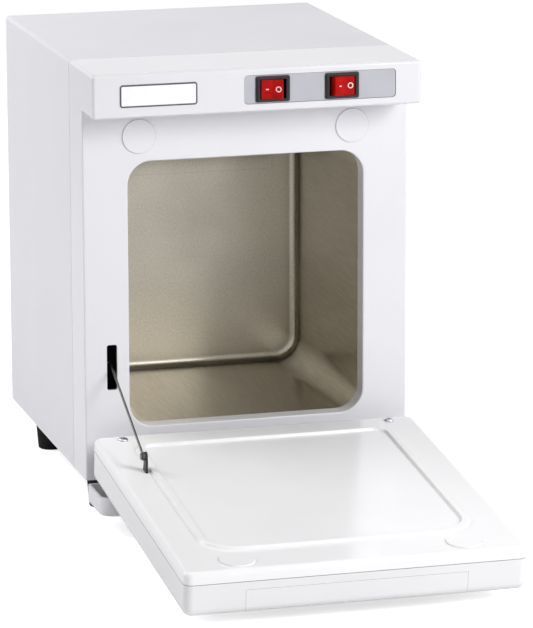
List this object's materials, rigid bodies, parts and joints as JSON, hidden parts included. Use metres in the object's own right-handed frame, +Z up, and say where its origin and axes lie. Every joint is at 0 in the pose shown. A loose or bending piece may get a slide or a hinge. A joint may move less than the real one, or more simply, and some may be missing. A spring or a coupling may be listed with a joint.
{
  "type": "towel sterilizer cabinet",
  "caption": "Countertop cabinet with an aluminium chamber, a drop-down door on a wire stay, rocker switches and a drip tray.",
  "frame": {"origin": "on the rest plane under the feet, at the middle of the whole object's box with the door open; the front face of the case is 10 mm behind it", "axes": "+X to the right as seen from the front, +Y to the back, +Z up; the open door reaches towards -Y"},
  "size_m": [0.275, 0.6175, 0.378],
  "materials": {
    "painted_case": "satin",
    "galvanised_sheet": "satin",
    "white_gloss_plastic": "gloss",
    "white_label": "matte",
    "grey_inlay": "satin",
    "black_plastic": "satin",
    "red_plastic": "gloss",
    "nylon": "matte",
    "brass": "satin",
    "aluminium": "satin",
    "zinc_steel": "satin",
    "steel_wire": "satin",
    "rubber": "matte",
    "silicone_mat": "matte",
    "mineral_wool": "matte",
    "foam": "matte",
    "lamp_glass": "polished",
    "ceramic_lamp_part": "matte",
    "magnet": "matte",
    "bakelite": "satin"
  },
  "bodies": {
    "cabinet": {"outer_cover": "painted_case", "base_pan": "galvanised_sheet", "back_panel": "galvanised_sheet", "rear_screws": "zinc_steel", "cord_gland": "black_plastic", "front_bezel": "white_gloss_plastic", "label_plate": "white_label", "switch_inlay": "grey_inlay", "uv_switch_housing": "black_plastic", "power_switch_housing": "black_plastic", "uv_switch_terminals": "brass", "power_switch_terminals": "brass", "catch_magnets": "magnet", "stay_guide": "nylon", "chamber_liner": "aluminium", "thermostat": "bakelite", "thermal_fuse": "zinc_steel", "liner_rivets": "aluminium", "heater_mat": "silicone_mat", "chamber_insulation": "mineral_wool", "chamber_saddles": "galvanised_sheet", "uv_lamp": "lamp_glass", "lamp_caps": "ceramic_lamp_part", "lamp_holders": "ceramic_lamp_part", "lamp_guard": "aluminium", "lamp_ballast": "zinc_steel", "starter_socket": "nylon", "lamp_starter": "white_label", "terminal_block": "nylon", "rubber_feet": "rubber", "foot_screws": "zinc_steel", "left_hinge_arm": "zinc_steel", "right_hinge_arm": "zinc_steel", "left_hinge_bush": "nylon", "right_hinge_bush": "nylon", "hinge_screws": "zinc_steel", "tray_rails": "galvanised_sheet"},
    "door": {"door_shell": "white_gloss_plastic", "door_grip": "white_gloss_plastic", "door_liner": "white_gloss_plastic", "door_strikes": "zinc_steel", "door_insulation": "foam", "hinge_blocks": "zinc_steel", "hinge_pins": "steel_wire", "hinge_block_screws": "zinc_steel", "stay_bracket": "zinc_steel", "stay_pin": "steel_wire", "stay_bracket_screws": "zinc_steel"},
    "stay": {"stay_rod": "steel_wire"},
    "tray": {"drip_tray": "white_gloss_plastic"},
    "uv_button": {"uv_rocker": "red_plastic"},
    "power_button": {"power_rocker": "red_plastic"}
  },
  "joints": [
    {"name": "door_hinge", "type": "hinge", "parent": "cabinet", "child": "door", "pos_m": [0, -0.0184, 0.0503], "axis": [-1, 0, 0], "range_deg": [0, 95.9]},
    {"name": "stay_pivot", "type": "hinge", "parent": "door", "child": "stay", "pos_m": [-0.1146, -0.09496, 0.08099], "axis": [1, 0, 0], "range_deg": [0, 55.7]},
    {"name": "tray_slide", "type": "slide", "parent": "cabinet", "child": "tray", "axis": [0, -1, 0], "range_m": [0, 0.04]},
    {"name": "uv_switch", "type": "hinge", "parent": "cabinet", "child": "uv_button", "pos_m": [0.0119, -0.0251, 0.3603], "axis": [0, 0, 1], "range_deg": [0, 24]},
    {"name": "power_switch", "type": "hinge", "parent": "cabinet", "child": "power_button", "pos_m": [0.07, -0.0251, 0.3603], "axis": [0, 0, -1], "range_deg": [0, 24]}
  ],
  "couplings": [
    {"joint": "stay_pivot", "follows": "door_hinge", "ratio": 0.58}
  ]
}
